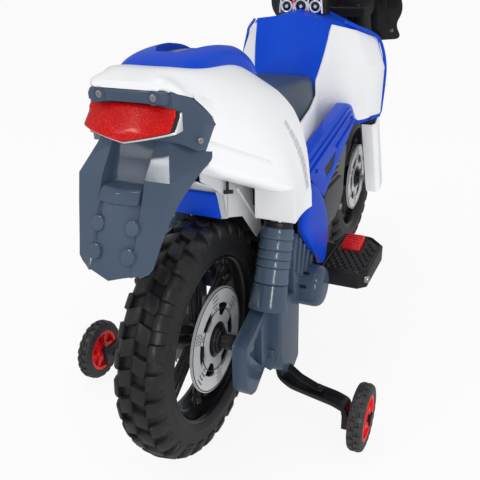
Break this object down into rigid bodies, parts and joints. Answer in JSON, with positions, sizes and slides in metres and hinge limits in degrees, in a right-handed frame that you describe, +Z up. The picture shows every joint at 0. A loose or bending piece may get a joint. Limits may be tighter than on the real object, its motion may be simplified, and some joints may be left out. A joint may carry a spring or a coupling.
{
  "type": "kids electric motorbike",
  "caption": "Battery ride-on motorbike for a small child: dirt-bike body panels, steered front fork, geared rear wheel, stabiliser wheels, foot pedal and dash controls.",
  "frame": {"origin": "on the floor below the middle of the bounding box", "axes": "+X is the driving direction, +Y the rider's left, +Z up"},
  "size_m": [1.065, 0.514, 0.6795],
  "materials": {
    "tyre_black": "moulded matt black",
    "rim_black": "gloss black moulding",
    "disc_chrome": "plated plastic",
    "gear_nylon": "natural nylon",
    "pinion_brass": "machined",
    "steel": "zinc plated",
    "slate_plastic": "satin slate blue moulding",
    "boot_slate": "ribbed slate blue moulding",
    "black_steel": "black powder coat",
    "red_plastic": "gloss red moulding",
    "grey_plastic": "light grey moulding",
    "black_plastic": "black moulding",
    "board_green": "lacquered board",
    "white_plastic": "gloss white moulding",
    "blue_plastic": "gloss royal blue moulding",
    "lens_red": "clear red lens",
    "dash_trim": "gloss black with plated trim",
    "lamp_clear": "clear moulded lens",
    "grip_rubber": "ribbed"
  },
  "bodies": {
    "frame": {"drive_motor": "steel", "rear_axle": "steel", "axle_hardware": "steel", "head_tube": "steel", "shock_tubes": "steel", "rear_fork_right": "slate_plastic", "rear_fork_left": "slate_plastic", "lamp_housing": "slate_plastic", "rear_mudguard": "slate_plastic", "seat": "slate_plastic", "seat_insert": "slate_plastic", "engine_covers": "slate_plastic", "fork_boot_right": "boot_slate", "fork_boot_left": "boot_slate", "stabiliser_bracket_right": "black_steel", "stabiliser_bracket_left": "black_steel", "chassis": "black_plastic", "battery": "black_plastic", "charge_socket": "black_plastic", "footrest_left": "black_plastic", "footrest_right": "black_plastic", "control_board": "board_green", "tail_cover": "white_plastic", "tank_shroud_right": "white_plastic", "tank_shroud_left": "white_plastic", "seat_cowl": "blue_plastic", "tank": "blue_plastic", "side_spar_right": "blue_plastic", "side_spar_left": "blue_plastic", "lower_cover_right": "blue_plastic", "lower_cover_left": "blue_plastic", "tail_lens": "lens_red", "dash_panel": "dash_trim"},
    "fork": {"steering_stem": "black_steel", "upper_clamp": "slate_plastic", "fork_leg_right": "slate_plastic", "fork_leg_left": "slate_plastic", "front_axle": "steel", "fork_guard_right": "white_plastic", "fork_guard_left": "white_plastic", "front_mudguard": "white_plastic", "front_mask": "black_plastic", "headlamp": "lamp_clear", "handlebar": "black_steel", "handlebar_grips": "grip_rubber"},
    "front_wheel": {"front_tyre": "tyre_black", "front_rim": "rim_black", "front_disc": "disc_chrome"},
    "rear_wheel": {"rear_tyre": "tyre_black", "rear_rim": "rim_black", "rear_disc": "disc_chrome", "drive_gear": "gear_nylon"},
    "pinion": {"motor_pinion": "pinion_brass"},
    "stabiliser_wheel_right": {"stabiliser_tyre_right": "tyre_black", "stabiliser_hub_right": "red_plastic"},
    "stabiliser_wheel_left": {"stabiliser_tyre_left": "tyre_black", "stabiliser_hub_left": "red_plastic"},
    "pedal": {"accelerator_pedal": "red_plastic"},
    "horn": {"horn_button": "red_plastic"},
    "switch": {"power_switch": "black_plastic"}
  },
  "joints": [
    {"name": "steering", "type": "hinge", "parent": "frame", "child": "fork", "pos_m": [0.3125, 0, 0.155], "axis": [-0.4226, 0, 0.9063], "range_deg": [-30, 30]},
    {"name": "front_wheel_spin", "type": "hinge", "parent": "fork", "child": "front_wheel", "pos_m": [0.3125, 0, 0.155], "axis": [0, 1, 0], "continuous": true},
    {"name": "rear_wheel_spin", "type": "hinge", "parent": "frame", "child": "rear_wheel", "pos_m": [-0.3625, 0, 0.155], "axis": [0, 1, 0], "continuous": true},
    {"name": "pinion_spin", "type": "hinge", "parent": "frame", "child": "pinion", "pos_m": [-0.30144, 0.0365, 0.14423], "axis": [0, 1, 0], "continuous": true},
    {"name": "stabiliser_spin_right", "type": "hinge", "parent": "frame", "child": "stabiliser_wheel_right", "pos_m": [-0.305, -0.205, 0.045], "axis": [0, 1, 0], "continuous": true},
    {"name": "stabiliser_spin_left", "type": "hinge", "parent": "frame", "child": "stabiliser_wheel_left", "pos_m": [-0.305, 0.205, 0.045], "axis": [0, 1, 0], "continuous": true},
    {"name": "pedal_press", "type": "hinge", "parent": "frame", "child": "pedal", "pos_m": [-0.0705, -0.12, 0.16], "axis": [0, 1, 0], "range_deg": [0, 8], "stiffness_Nm_per_rad": 2, "springref_deg": -5.73},
    {"name": "horn_press", "type": "slide", "parent": "frame", "child": "horn", "axis": [0, 0, -1], "range_m": [0, 0.003], "stiffness_N_per_m": 600, "springref_m": -0.001},
    {"name": "switch_rock", "type": "hinge", "parent": "frame", "child": "switch", "pos_m": [0.0395, -0.017, 0.533], "axis": [0, 1, 0], "range_deg": [-8, 8]}
  ],
  "couplings": [
    {"joint": "pinion_spin", "follows": "rear_wheel_spin", "ratio": -4.1667}
  ]
}
